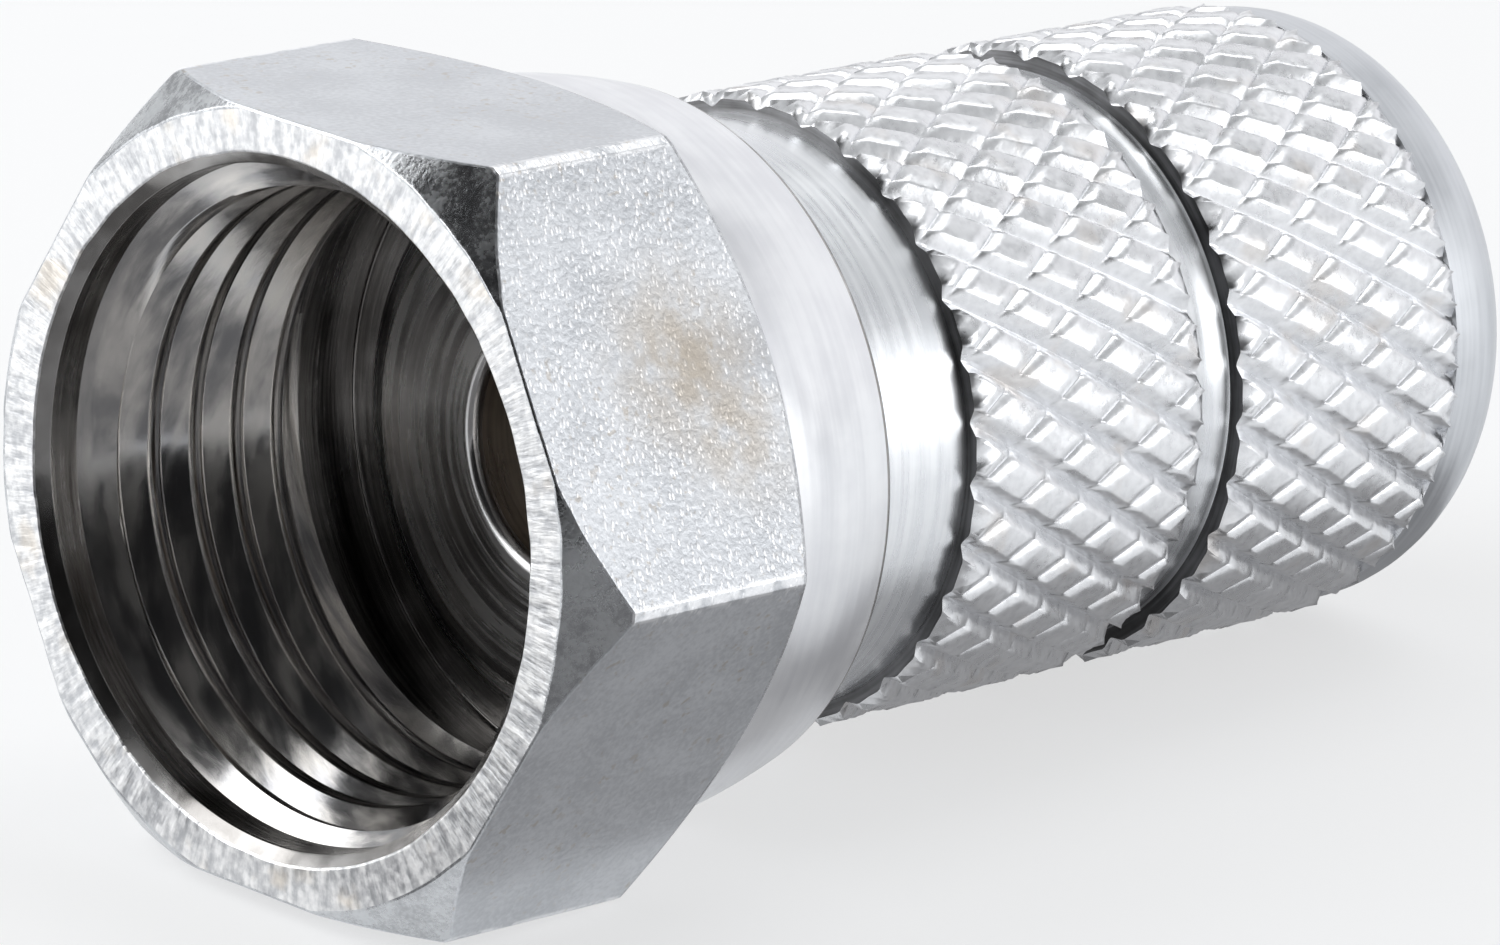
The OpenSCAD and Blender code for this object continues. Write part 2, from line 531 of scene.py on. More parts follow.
@dataclass(frozen=True)
class Specks:
    """Small marks, longer across the axis than along it, on one side of the piece, with a little relief;
    their bright colour is a painted glint.

    Attributes:
        side: Unit vector towards the side that has them.
        reach: Distances along that vector between which they come in.
        scale: Marks to the millimetre.
        stretch: How much closer together they are along each axis.
        spot: Limits of a mark's size, where it ends and where it is full.
        relief: How much of the finish's bump they have.
    """

    side: tuple[float, float, float]
    reach: tuple[float, float] = (5.2, 5.46)
    scale: float = 9.0
    stretch: tuple[float, float, float] = (1.45, 0.7, 0.7)
    spot: tuple[float, float] = (0.42, 0.18)
    relief: float = 0.5


@dataclass(frozen=True)
class Nickel:
    """A nickel plated finish, made of nodes on object coordinates.

    Attributes:
        name: The material's name.
        tint: Colour of the metal where its marks are light.
        dark: Colour where they are dark.
        roughness: Roughness at the dark and at the light marks.
        grain: How the marks lie.
        grain_scale: Marks to the millimetre.
        grain_mix: Share of the marks in the shading, where the rest is cloud.
        bump: Height of the marks in millimetres.
        contrast: Half the range of noise that goes from dark to light.
        cloud_scale: Clouds to the millimetre.
        edge_highlight_r: Distance from the axis from which the outer edges get a painted highlight, or 0.
        edge_highlight_width: Distance over which that comes in.
        root: Distances from the axis between which a thread's root darkens, or zeros.
        root_shade: How dark it gets.
        grime: Strength of small warm spots.
        specks: Marks on one side, painted bright as glints.
        bright: Colour of the painted edge highlight and of the specks' painted glint.
        warm: Colour of stains, tone and grime.
        warm_amount: Strength of a broad warm tone.
        stains: Warm patches at given places.
    """

    name: str
    tint: tuple[float, float, float]
    dark: tuple[float, float, float]
    roughness: tuple[float, float]
    grain: Grain
    grain_scale: float = 12.0
    grain_mix: float = 0.5
    bump: float = 0.004
    contrast: float = 0.14
    cloud_scale: float = 0.8
    edge_highlight_r: float = 0.0
    edge_highlight_width: float = 0.03
    root: tuple[float, float] = (0.0, 0.0)
    root_shade: float = 0.5
    grime: float = 0.0
    specks: Specks | None = None
    bright: tuple[float, float, float] = (0.97, 0.98, 1.0)
    warm: tuple[float, float, float] = (0.62, 0.54, 0.44)
    warm_amount: float = 0.0
    stains: tuple[Stain, ...] = ()

    def material(self) -> bpy.types.Material:
        """Builds the material.

        Returns:
            The new material.
        """
        return NickelNodes(self).build()


class NickelNodes(Wiring):
    """Builds the node tree of one nickel finish."""

    def __init__(self, finish: Nickel) -> None:
        """Starts the material, with object coordinates in millimetres as its place.

        Args:
            finish: The finish to build.
        """
        self.finish = finish
        self.made = bpy.data.materials.new(finish.name)
        self.made.use_nodes = True
        super().__init__(self.made.node_tree)
        self.shader = self.tree.nodes["Principled BSDF"]
        self.place = self.vector("SCALE", self.node("ShaderNodeTexCoord").outputs["Object"], 1 / MM)

    def mix(self, share: Socket, first: object, second: object) -> Socket:
        """A mix of two colours, each a socket or three numbers.

        Args:
            share: How much of the second colour shows.
            first: The first colour.
            second: The second colour.

        Returns:
            The mixed colour's socket.
        """
        made = self.node("ShaderNodeMix", data_type="RGBA", in_0=share)
        for number, colour in ((6, first), (7, second)):
            self.feed(made.inputs[number], colour if isinstance(colour, Socket) else (*colour, 1.0))
        return made.outputs[2]

    def noise(self, where: Socket, scale: float, detail: float) -> Socket:
        """Smooth noise around 0.5.

        Args:
            where: Where the noise is read, in millimetres.
            scale: Waves to the millimetre.
            detail: How many finer waves are added.

        Returns:
            The noise's socket.
        """
        made = self.node("ShaderNodeTexNoise", in_Vector=where, in_Scale=scale, in_Detail=detail)
        return made.outputs["Fac"]

    def ramp(self, value: Socket, low: float, high: float) -> Socket:
        """Stretches the part of a value between two limits to the whole range from 0 to 1.

        Args:
            value: The value.
            low: What becomes 0.
            high: What becomes 1.

        Returns:
            The stretched value's socket.
        """
        return self.node("ShaderNodeMapRange", interpolation_type="SMOOTHSTEP", in_Value=value,
                         in_From_Min=low, in_From_Max=high).outputs["Result"]

    def faded(self, fade: Fade) -> Socket:
        """Noise on the plain place, stretched between the fade's limits."""
        return self.ramp(self.noise(self.place, fade.scale, fade.detail), fade.low, fade.high)

    def distance(self) -> Socket:
        """Distance from the connector's axis."""
        return self.vector("LENGTH", self.vector("MULTIPLY", self.place, ACROSS))

    def stretched(self) -> Socket:
        """The coordinates in which plain noise makes the finish's marks."""
        grain = self.finish.grain
        if grain in (Grain.SATIN, Grain.CAST):
            return self.place
        across = self.vector("MULTIPLY", self.place, ACROSS)
        if grain is Grain.RINGS:
            # Fast along the profile, which runs along X or outwards, and slow round the axis
            station = self.node("ShaderNodeSeparateXYZ", in_0=self.place).outputs["X"]
            along = self.math("ADD", station, self.distance())
            around = self.vector("SCALE", across, 0.035)
        else:
            # Spokes: slow outwards and fast round the axis
            along = self.math("MULTIPLY", self.distance(), 0.2)
            around = self.vector("SCALE", self.vector("NORMALIZE", across), 5.0)
        return self.vector("ADD", self.node("ShaderNodeCombineXYZ", in_X=along).outputs[0], around)

    def speckled(self, specks: Specks) -> Socket:
        """How strongly the specks show at a place.

        Args:
            specks: Their sizes.

        Returns:
            A socket from 0 to 1.
        """
        longer = self.vector("MULTIPLY", self.place, specks.stretch)
        cells = self.node("ShaderNodeTexVoronoi", in_Vector=longer, in_Scale=specks.scale)
        spot = self.ramp(cells.outputs["Distance"], *specks.spot)
        facing = self.ramp(self.vector("DOT_PRODUCT", self.place, specks.side), *specks.reach)
        return self.math("MULTIPLY", self.math("MULTIPLY", spot, self.faded(SPECKS_KEPT)), facing)

    def stained(self) -> Socket:
        """How strongly the stains show at a place, from 0 to 1."""
        total = 0.0
        for stain in self.finish.stains:
            near = self.ramp(self.vector("DISTANCE", self.place, stain.place), stain.size, 0.0)
            total = self.math("MAXIMUM", total, self.math("MULTIPLY", near, stain.strength))
        return self.math("MULTIPLY", total, self.faded(STAIN_BREAKS))

    def covers(self) -> list[tuple[Socket, tuple[float, float, float]]]:
        """What lies over the metal's own colour, except the specks.

        Returns:
            The share and the colour of each cover, in the order in which they are laid.
        """
        finish, laid = self.finish, []
        if finish.warm_amount:
            laid.append((self.math("MULTIPLY", self.faded(WARM_TONE), finish.warm_amount), finish.warm))
        if finish.stains:
            laid.append((self.stained(), finish.warm))
        # Beyond that radius the edges are painted bright: a painted highlight, broken into patches
        if finish.edge_highlight_r:
            worn = self.ramp(self.distance(), finish.edge_highlight_r, finish.edge_highlight_r + finish.edge_highlight_width)
            laid.append((self.math("MULTIPLY", worn, self.faded(EDGE_HIGHLIGHT_BREAKS)), finish.bright))
        if finish.root[1]:
            depth = self.ramp(self.distance(), *finish.root)
            laid.append((self.math("MULTIPLY", depth, finish.root_shade), finish.dark))
        if finish.grime:
            spots = self.math("MULTIPLY", self.faded(GRIME_SPOTS), self.faded(GRIME_AREAS))
            laid.append((self.math("MULTIPLY", spots, finish.grime), finish.warm))
        return laid

    def build(self) -> bpy.types.Material:
        """Wires the finish up.

        Returns:
            The material.
        """
        finish = self.finish
        marks = self.noise(self.stretched(), finish.grain_scale, 5.0)
        cloud = self.noise(self.place, finish.cloud_scale, 4.0)
        blend = self.math("ADD", self.math("MULTIPLY", marks, finish.grain_mix),
                          self.math("MULTIPLY", cloud, 1 - finish.grain_mix))
        shade = self.ramp(blend, 0.5 - finish.contrast, 0.5 + finish.contrast)
        colour = self.mix(shade, finish.dark, finish.tint)
        if finish.specks:
            # The specks are painted bright: painted glints on real pits, which also get a little bump
            share = self.speckled(finish.specks)
            colour = self.mix(share, colour, finish.bright)
            marks = self.math("ADD", marks, self.math("MULTIPLY", share, finish.specks.relief))
        for share, cover in self.covers():
            colour = self.mix(share, colour, cover)
        low, high = finish.roughness
        rough = self.math("ADD", self.math("MULTIPLY", shade, high - low), low)
        relief = self.node("ShaderNodeBump", in_Strength=1.0, in_Distance=finish.bump * MM, in_Height=marks)
        for name, value in (("Base Color", colour), ("Roughness", rough), ("Metallic", 1.0),
                            ("Normal", relief.outputs["Normal"])):
            self.feed(self.shader.inputs[name], value)
        return self.made


@dataclass(frozen=True)
class Palette:
    """The finishes of one piece, one for each zone."""

    zones: dict[Zone, Nickel]

    def dress(self, piece: bpy.types.Object) -> None:
        """Gives a piece its materials, in the order of the zones.

        Args:
            piece: The mesh whose faces hold zone numbers.
        """
        spare = next(iter(self.zones.values()))
        made: dict[str, bpy.types.Material] = {}
        for zone in Zone:
            finish = self.zones.get(zone, spare)
            if finish.name not in made:
                made[finish.name] = finish.material()
            piece.data.materials.append(made[finish.name])


NUT_PALETTE = Palette({
    Zone.RIM: Nickel("nut_rim_milled", (0.97, 0.97, 0.97), (0.56, 0.57, 0.59), (0.30, 0.50), Grain.SPOKES,
                     grain_scale=8.0, grain_mix=0.5, contrast=0.16, cloud_scale=8.0, bump=0.022,
                     warm_amount=0.4, warm=(0.84, 0.72, 0.56)),
    Zone.CHAMFER: Nickel("nut_chamfer_turned", (0.70, 0.72, 0.74), (0.48, 0.49, 0.51), (0.20, 0.32),
                         Grain.SATIN, grain_scale=14.0, grain_mix=0.4, cloud_scale=2.0, bump=0.006),
    Zone.FLAT: Nickel("nut_flat_satin", (0.76, 0.78, 0.81), (0.60, 0.62, 0.65), (0.30, 0.42), Grain.SATIN,
                      # Pits on the flat facing (0, -0.866, 0.5) only, painted bright as glints
                      grain_scale=12.0, bump=0.008, specks=Specks((0, -0.866, 0.5)), grime=0.45,
                      # The hexagon's corner edges get a painted highlight beyond this radius
                      edge_highlight_r=6.27, warm=(0.50, 0.43, 0.34),
                      stains=(Stain((-2.6, -4.7, 2.8), 2.0, 0.80), Stain((-2.1, -5.0, 1.9), 1.7, 0.70))),
    Zone.TURNED: Nickel("nut_shoulder_turned", (0.94, 0.95, 0.97), (0.80, 0.81, 0.84), (0.28, 0.38),
                        Grain.RINGS, grain_scale=8.0, grain_mix=0.35, bump=0.0008),
    # Darker than the nut's other turned faces: painted shade on its inside faces and rear face
    Zone.BORE: Nickel("nut_bore_turned", (0.60, 0.59, 0.58), (0.28, 0.27, 0.26), (0.14, 0.28), Grain.RINGS,
                      grain_scale=18.0, bump=0.004),
    Zone.THREAD: Nickel("nut_thread_cut", (0.96, 0.93, 0.89), (0.40, 0.40, 0.41), (0.12, 0.26), Grain.RINGS,
                        grain_scale=18.0, grain_mix=0.7, contrast=0.12, root=(4.6, 4.8), bump=0.004),
})

FERRULE_PALETTE = Palette({
    Zone.TURNED: Nickel("ferrule_turned", (0.80, 0.80, 0.80), (0.46, 0.45, 0.45), (0.16, 0.30), Grain.RINGS,
                        grain_scale=8.0, grain_mix=0.8, contrast=0.1, bump=0.008),
    Zone.BORE: Nickel("ferrule_bore", (0.50, 0.44, 0.38), (0.30, 0.26, 0.22), (0.25, 0.40), Grain.RINGS,
                      grain_scale=10.0, bump=0.004),
})

BODY_PALETTE = Palette({
    Zone.TURNED: Nickel("body_turned", (0.93, 0.95, 0.97), (0.78, 0.80, 0.83), (0.24, 0.34), Grain.RINGS,
                        grain_scale=9.0, grain_mix=0.5, bump=0.0012),
    # A darker copy of the body's turned finish: painted shade on the tail, its rounding and the rear face
    Zone.CHAMFER: Nickel("body_tail_turned", (0.70, 0.72, 0.75), (0.56, 0.58, 0.61), (0.30, 0.42),
                         Grain.RINGS, grain_scale=9.0, grain_mix=0.5, bump=0.0012),
    Zone.FLAT: Nickel("body_knurl", (0.92, 0.93, 0.95), (0.78, 0.79, 0.81), (0.26, 0.36), Grain.CAST,
                      grain_scale=7.0, grain_mix=0.6, bump=0.006, warm_amount=0.25,
                      warm=(0.72, 0.62, 0.52)),
    # Painted near black: painted shade on the walls at the ends of the bands and in the groove
    Zone.RIM: Nickel("body_groove_wall", (0.34, 0.34, 0.35), (0.10, 0.10, 0.10), (0.40, 0.55), Grain.RINGS,
                     grain_scale=10.0, bump=0.006),
    Zone.BORE: Nickel("body_bore", (0.60, 0.58, 0.56), (0.38, 0.36, 0.34), (0.25, 0.40), Grain.RINGS,
                      grain_scale=10.0, bump=0.004),
    Zone.THREAD: Nickel("body_jacket_thread", (0.66, 0.64, 0.61), (0.42, 0.40, 0.38), (0.22, 0.36),
                        Grain.RINGS, grain_scale=12.0, bump=0.004),
})


# ---------------------------------------------------------------- coupling nut


@dataclass
class CouplingNut:
    """The free-turning nut: hexagon, turned shoulder, port thread and the lip behind it."""

    reach: Reach = field(default_factory=lambda: Reach.of(Node.NUT))
    crest_r: float = field(default_factory=lambda: mount_size("port_thread", "r_mm"))
    thread_len: float = field(default_factory=lambda: mount_size("port_thread", "length_mm"))
    face_r: float = 5.6
    corner_end: float = 4.0
    shoulder_start: float = 4.62
    shoulder_front_r: float = 5.46
    shoulder_rear_r: float = 5.06
    shoulder_bulge_r: float = 11.0
    mouth_r: float = 4.99
    lead_r: float = 4.8
    thread_start: float = 0.62
    thread_pitch: float = 0.79375
    relief_r: float = 4.85
    lip_t: float = 0.85
    lip_r: float = 3.75
    flat_edge: float = 0.03
    corner_blend: float = 0.0025
    face_wander: float = 0.03
    mouth_wander: float = 0.025
    face_ripple: float = 0.012
    face_ripple_depth: float = 0.08
    thread_margin: float = 0.06

    @property
    def length(self) -> float:
        """Length from the mouth to the rear face."""
        return self.reach.end - self.reach.start

    @property
    def half_flats(self) -> float:
        """Distance from the axis to a flat."""
        return self.reach.top

    def columns(self) -> np.ndarray:
        """Angles round the nut, closer together at the hexagon's corners.

        Returns:
            Angles in degrees, from 0 up to less than 360.
        """
        # Close steps beside a corner, and even ones from there to the middle of the flat
        corner = [0.0, 0.38, 0.52, 0.61, 0.69, 0.78, 0.92, 1.2, 1.7, 2.5, 3.4]
        middle = list(np.linspace(4.6, 30.0, 18))
        half = corner + middle
        sector = half + [60 - angle for angle in reversed(half[1:-1])]
        return np.array([60 * turn + angle for turn in range(6) for angle in sector])

    def bar_radius(self, angles: np.ndarray) -> np.ndarray:
        """The hexagon's radius with its corners turned off, and the edges between softened.

        Args:
            angles: Angles in degrees.

        Returns:
            The radius at each angle.
        """
        off_flat = np.radians((angles % 60) - 30)
        flat = self.half_flats / np.cos(off_flat)
        over = (flat - self.reach.side) / self.corner_blend
        return self.reach.side - np.log(np.exp(-over) + 1) * self.corner_blend

    def shoulder(self, steps: int = 7) -> np.ndarray:
        """Points of the bulging shoulder, from the hexagon to the rear face.

        Args:
            steps: Spans along the bulge.

        Returns:
            Array of shape (steps + 1, 2) of distance from the mouth and radius.
        """
        front = np.array([self.shoulder_start, self.shoulder_front_r])
        rear = np.array([self.length, self.shoulder_rear_r])
        chord = rear - front
        half = np.linalg.norm(chord) / 2
        middle = (front + rear) / 2
        normal = np.array([-chord[1], chord[0]]) / (2 * half)
        centre = middle - normal * math.sqrt(self.shoulder_bulge_r ** 2 - half ** 2)
        points = []
        for step in range(steps + 1):
            point = front + chord * step / steps - centre
            points.append(centre + point / np.linalg.norm(point) * self.shoulder_bulge_r)
        return np.array(points)

    def build(self) -> bpy.types.Object:
        """Builds the nut as one closed mesh.

        Returns:
            The dressed piece, riding on the nut's body.
        """
        angles = self.columns()
        bar = self.bar_radius(angles)
        count = len(angles)
        places = turned(np.full((count, 1, 2), (0.0, 9.0)), angles)[:, 0]
        face = np.minimum(self.face_r + self.face_wander * wave(places, 1.0, 3.0), bar - self.flat_edge)
        mouth = self.mouth_r + self.mouth_wander * wave(places, 1.0, 8.0)
        chamfer = np.maximum(bar - face, self.flat_edge)
        rear_slope = (self.reach.side - self.shoulder_front_r) / (self.shoulder_start - self.corner_end)
        corner_end = self.corner_end + (self.reach.side - bar) / rear_slope
        shoulder = self.shoulder()
        bevel = self.mouth_r - self.lead_r
        length, lip_x = self.length, self.length - self.lip_t
        thread_end = self.thread_start + self.thread_len

        def ring(x: float | np.ndarray, r: float | np.ndarray) -> np.ndarray:
            """One point of the profile at every column."""
            return np.stack([np.broadcast_to(x, count), np.broadcast_to(r, count)], axis=1)

        # Each corner of the profile: its place, its edge radius and the zone that starts there
        spec = [
            (ring(0, mouth), 0.02, Zone.RIM),
            (ring(0, face), 0.025, Zone.CHAMFER),
            (ring(chamfer, bar), 0.03, Zone.FLAT),
            (ring(corner_end, bar), 0.06, Zone.CHAMFER),
            (ring(*shoulder[0]), 0.05, Zone.TURNED),
            *[(ring(*point), 0.0, Zone.TURNED) for point in shoulder[1:-1]],
            (ring(*shoulder[-1]), 0.12, Zone.BORE),
            (ring(length, self.lip_r), 0.05, Zone.BORE),
            (ring(lip_x, self.lip_r), 0.05, Zone.BORE),
            (ring(lip_x, self.relief_r), 0.05, Zone.BORE),
            (ring(thread_end, self.relief_r), 0.02, Zone.BORE),
            (ring(self.thread_start, self.lead_r), 0.02, Zone.BORE),
            (ring(bevel, self.lead_r), 0.02, Zone.BORE),
        ]
        corners = np.stack([entry[0] for entry in spec], axis=1)
        profile = rounded(corners, [entry[1] for entry in spec])
        zones = [entry[2] for entry in spec for _ in range(CORNER_POINTS)]
        # The thread goes in between the relief and the lead-in
        split = (len(spec) - 2) * CORNER_POINTS
        profile[..., 0] += self.reach.start
        thread = HelicalThread(self.reach.start + self.thread_start + self.thread_margin,
                               self.reach.start + thread_end - self.thread_margin,
                               self.lead_r, self.crest_r, self.thread_pitch, crest_flat=0.22,
                               root_flat=0.06, run_in=0.35, run_out=0.3, phase=140, filled=0.3)
        shell = Shell()
        add_threaded(shell, profile[:, :split], thread, profile[:, split:], angles, zones, closed=True)
        piece = shell.mesh("coupling_nut_turned", self.ripple)
        NUT_PALETTE.dress(piece)
        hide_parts(Node.NUT.value)
        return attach(piece, "nut")

    def ripple(self, points: np.ndarray) -> np.ndarray:
        """Small unevenness of the milled front face.

        Args:
            points: The nut's points.

        Returns:
            Each point's shift.
        """
        near_face = np.clip(1 - (points[:, 0] - self.reach.start) / self.face_ripple_depth, 0, 1)
        shift = np.zeros_like(points)
        shift[:, 0] = near_face * self.face_ripple * (1 + wave(points, 2.5, 4.0))
        return shift


# ---------------------------------------------------------------- contact ferrule


@dataclass
class ContactFerrule:
    """The ferrule: a bevelled head in front of the nut's lip, a neck and a spigot in the body."""

    reach: Reach = field(default_factory=lambda: Reach.of(Node.FERRULE))
    bore_r: float = field(default_factory=lambda: mount_size("insulation_bore", "r_mm"))
    contact_r: float = 3.71
    head_rear: float = 0.48
    head_rim_t: float = 0.16
    neck_r: float = 3.7
    spigot_r: float = 2.6
    sides: int = 180

    def build(self) -> bpy.types.Object:
        """Builds the ferrule as one closed mesh.

        Returns:
            The dressed piece, riding on the body.
        """
        head_r = self.reach.side
        neck_end = Reach.of(Node.BODY).start
        # Each corner of the profile: its place, its edge radius and the zone that starts there
        spec = [
            ((0.0, self.bore_r), 0.16, Zone.TURNED),
            ((0.0, self.contact_r), 0.05, Zone.TURNED),
            ((self.head_rear - self.head_rim_t, head_r), 0.04, Zone.TURNED),
            ((self.head_rear, head_r), 0.03, Zone.TURNED),
            ((self.head_rear, self.neck_r), 0.03, Zone.TURNED),
            ((neck_end, self.neck_r), 0.03, Zone.TURNED),
            ((neck_end, self.spigot_r), 0.03, Zone.TURNED),
            ((self.reach.end, self.spigot_r), 0.05, Zone.TURNED),
            ((self.reach.end, self.bore_r), 0.05, Zone.BORE),
        ]
        corners = np.array([[entry[0] for entry in spec]])
        profile = np.repeat(rounded(corners, [entry[1] for entry in spec]), self.sides, axis=0)
        closed = np.concatenate([profile, profile[:, :1]], axis=1)
        angles = np.arange(self.sides) * 360 / self.sides
        shell = Shell()
        shell.add_grid(turned(closed, angles), [entry[2] for entry in spec for _ in range(CORNER_POINTS)])
        piece = shell.mesh("contact_ferrule_turned")
        FERRULE_PALETTE.dress(piece)
        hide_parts(Node.FERRULE.value)
        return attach(piece, "body")


# ---------------------------------------------------------------- knurled body


@dataclass(frozen=True)
class Groove:
    """The shape of one set of grooves, as heights from the groove's middle to the pad's middle.

    Distances are shares of the pitch, and heights are shares of the knurl's depth.
    """

    heights: tuple[float, ...]
    distances: tuple[float, ...] = (0.0, 0.05, 0.2, 0.27, 0.5)

    def height(self, distance: np.ndarray) -> np.ndarray:
        """Height at a distance from the groove's middle.

        Args:
            distance: Distance as a share of the pitch.

        Returns:
            Height as a share of the knurl's depth.
        """
        return np.interp(distance, self.distances, self.heights)


@dataclass(frozen=True)
class Knurl:
    """A diamond knurl: wide falling grooves and finer rising ones, with rows of pads between.

    Attributes:
        count: Pads round the body.
        rows: Half-cells along a band.
        row_len: Length of a half-cell along X.
        valley_r: Radius at the bottom of the grooves.
        depth: Height of the pads.
        worn: Share of that height that is rubbed off at the ends of a band.
        falling: Shape of the falling grooves.
        rising: Shape of the rising grooves.
        stations: Where the points of a cell lie, as shares of its width.
    """

    count: int
    rows: int
    row_len: float
    valley_r: float
    depth: float
    worn: float = 0.5
    falling: Groove = Groove((0.0, 0.14, 0.88, 1.0, 0.92))
    rising: Groove = Groove((0.60, 0.78, 1.0, 1.0, 0.95))
    stations: tuple[float, ...] = (0.0, 0.05, 0.2, 0.27, 0.5, 0.73, 0.8, 0.95, 1.0)

    def height(self, u: np.ndarray, v: np.ndarray) -> np.ndarray:
        """Height of the pad at a place in its cell.

        Args:
            u: Share of the way across, from one falling groove to the next.
            v: Share of the way across, from one rising groove to the next.

        Returns:
            Height as a share of the depth.
        """
        return np.minimum(self.falling.height(np.minimum(u, 1 - u)),
                          self.rising.height(np.minimum(v, 1 - v)))

    def cell(self) -> bpy.types.Object:
        """One pad with half of each groove round it, centred on X = 0 at the angle 0.

        Returns:
            An object that holds the cell's mesh, for the pattern to repeat.
        """
        size = len(self.stations)
        u, v = (axis.ravel() for axis in np.meshgrid(self.stations, self.stations, indexing="ij"))
        r = self.valley_r + self.depth * self.height(u, v)
        turn = np.radians((u - v) * 180 / self.count)
        points = np.stack([(u + v - 1) * self.row_len, -r * np.cos(turn), r * np.sin(turn)], axis=1)
        faces = []
        for i in range(size - 1):
            for j in range(size - 1):
                a, b, c, d = i * size + j, (i + 1) * size + j, (i + 1) * size + j + 1, i * size + j + 1
                # Cells on the pad's middle line are cut along it, so that half a pad has a clean edge
                faces.extend([[a, b, d], [b, c, d]] if i + j == size - 2 else [[a, b, c, d]])
        data = bpy.data.meshes.new("knurl_cell")
        data.from_pydata((points * MM).tolist(), [], faces)
        return placed("knurl_cell", data)

    def border(self) -> tuple[np.ndarray, np.ndarray]:
        """The scalloped edge at the ends of a band.

        Returns:
            The columns' angles in degrees and the radius at each.
        """
        across = np.array(self.stations[:-1])
        step = np.arange(self.count)[:, None] * 2 + 2 * across[None, :]
        r = self.valley_r + self.depth * (1 - self.worn) * self.height(across, 1 - across)
        return (step * 180 / self.count).ravel(), np.tile(r, self.count)


class KnurlTree(Wiring):
    """The node group that repeats a knurl's cell round and along the body."""

    def __init__(self, name: str) -> None:
        """Builds the group.

        Args:
            name: The group's name.
        """
        super().__init__(bpy.data.node_groups.new(name, "GeometryNodeTree"))
        face = self.tree.interface
        for label, kind in (("Cell", "Geometry"), ("Pads Round", "Int"), ("Rows", "Int"),
                            ("Row Length", "Float"), ("Start", "Float"), ("Finish", "Material")):
            face.new_socket(name=label, in_out="INPUT", socket_type="NodeSocket" + kind)
        face.new_socket(name="Band", in_out="OUTPUT", socket_type="NodeSocketGeometry")
        self.wire()

    def identifier(self, label: str) -> str:
        """The identifier of a named input."""
        return next(item.identifier for item in self.tree.interface.items_tree
                    if item.item_type == "SOCKET" and item.name == label and item.in_out == "INPUT")

    def wire(self) -> None:
        """Lays the points of the pattern, puts a cell on each, and makes the result real faces."""
        given = self.node("NodeGroupInput").outputs
        number = self.node("GeometryNodeInputIndex").outputs[0]
        row = self.math("FLOOR", self.math("DIVIDE", number, given["Pads Round"]))
        place_round = self.math("MODULO", number, given["Pads Round"])
        odd = self.math("MODULO", row, 2.0)
        step = self.math("SUBTRACT", self.math("ADD", self.math("MULTIPLY", place_round, 2.0), 1.0), odd)
        turn = self.math("MULTIPLY", self.math("DIVIDE", step, given["Pads Round"]), -math.pi)
        station = self.math("ADD", given["Start"], self.math("MULTIPLY", row, given["Row Length"]))
        where = self.node("ShaderNodeCombineXYZ", in_X=station).outputs[0]
        facing = self.node("ShaderNodeCombineXYZ", in_X=turn).outputs[0]
        total = self.math("MULTIPLY", given["Pads Round"], self.math("ADD", given["Rows"], 1.0))
        points = self.node("GeometryNodePoints", in_Count=total, in_Position=where).outputs[0]
        first_row = self.math("LESS_THAN", row, 0.5)
        last_row = self.math("GREATER_THAN", row, self.math("SUBTRACT", given["Rows"], 0.5))
        inner = self.math("LESS_THAN", self.math("ADD", first_row, last_row), 0.5)
        centre = self.node("GeometryNodeInputPosition").outputs[0]
        x = self.node("ShaderNodeSeparateXYZ", in_0=centre).outputs["X"]
        # The first row keeps the rear half of its pads, and the last row the front half
        halves = ((inner, None), (first_row, self.math("LESS_THAN", x, 0.0)),
                  (last_row, self.math("GREATER_THAN", x, 0.0)))
        joined = self.node("GeometryNodeJoinGeometry")
        for chosen, dropped in halves:
            shape = given["Cell"]
            if dropped is not None:
                shape = self.node("GeometryNodeDeleteGeometry", domain="FACE", in_Geometry=shape,
                                  in_Selection=dropped).outputs["Geometry"]
            spread = self.node("GeometryNodeInstanceOnPoints", in_Points=points, in_Selection=chosen,
                               in_Instance=shape, in_Rotation=facing)
            self.feed(joined.inputs[0], spread.outputs[0])
        real = self.node("GeometryNodeRealizeInstances", in_0=joined.outputs[0])
        dress = self.node("GeometryNodeSetMaterial", in_Geometry=real.outputs[0], in_Material=given["Finish"])
        self.node("NodeGroupOutput", in_0=dress.outputs[0])

    def band(self, knurl: Knurl, start: float, finish: bpy.types.Material) -> tuple[np.ndarray, list]:
        """Makes one band and bakes it to plain points and faces.

        Args:
            knurl: The pattern's sizes.
            start: The band's first station along X.
            finish: The material of the band.

        Returns:
            The band's points in millimetres, and its faces.
        """
        holder = knurl.cell()
        change = holder.modifiers.new("knurl", "NODES")
        change.node_group = self.tree
        for label, value in (("Pads Round", knurl.count), ("Rows", knurl.rows),
                             ("Row Length", knurl.row_len * MM), ("Start", start * MM), ("Finish", finish)):
            change[self.identifier(label)] = value
        graph = bpy.context.evaluated_depsgraph_get()
        baked = bpy.data.meshes.new_from_object(holder.evaluated_get(graph))
        holder.modifiers.remove(change)
        bpy.data.objects.remove(holder)
        points = np.array([vertex.co for vertex in baked.vertices]) / MM
        faces = [list(polygon.vertices) for polygon in baked.polygons]
        # The pads are worn down at the band's ends
        stop, near = start + knurl.rows * knurl.row_len, 1e-4
        ends = (np.abs(points[:, 0] - start) < near) | (np.abs(points[:, 0] - stop) < near)
        r = np.hypot(points[:, 1], points[:, 2])
        lower = np.where(ends, 1 - knurl.worn * (r - knurl.valley_r) / r, 1.0)
        points[:, 1:] *= lower[:, None]
        return points, faces


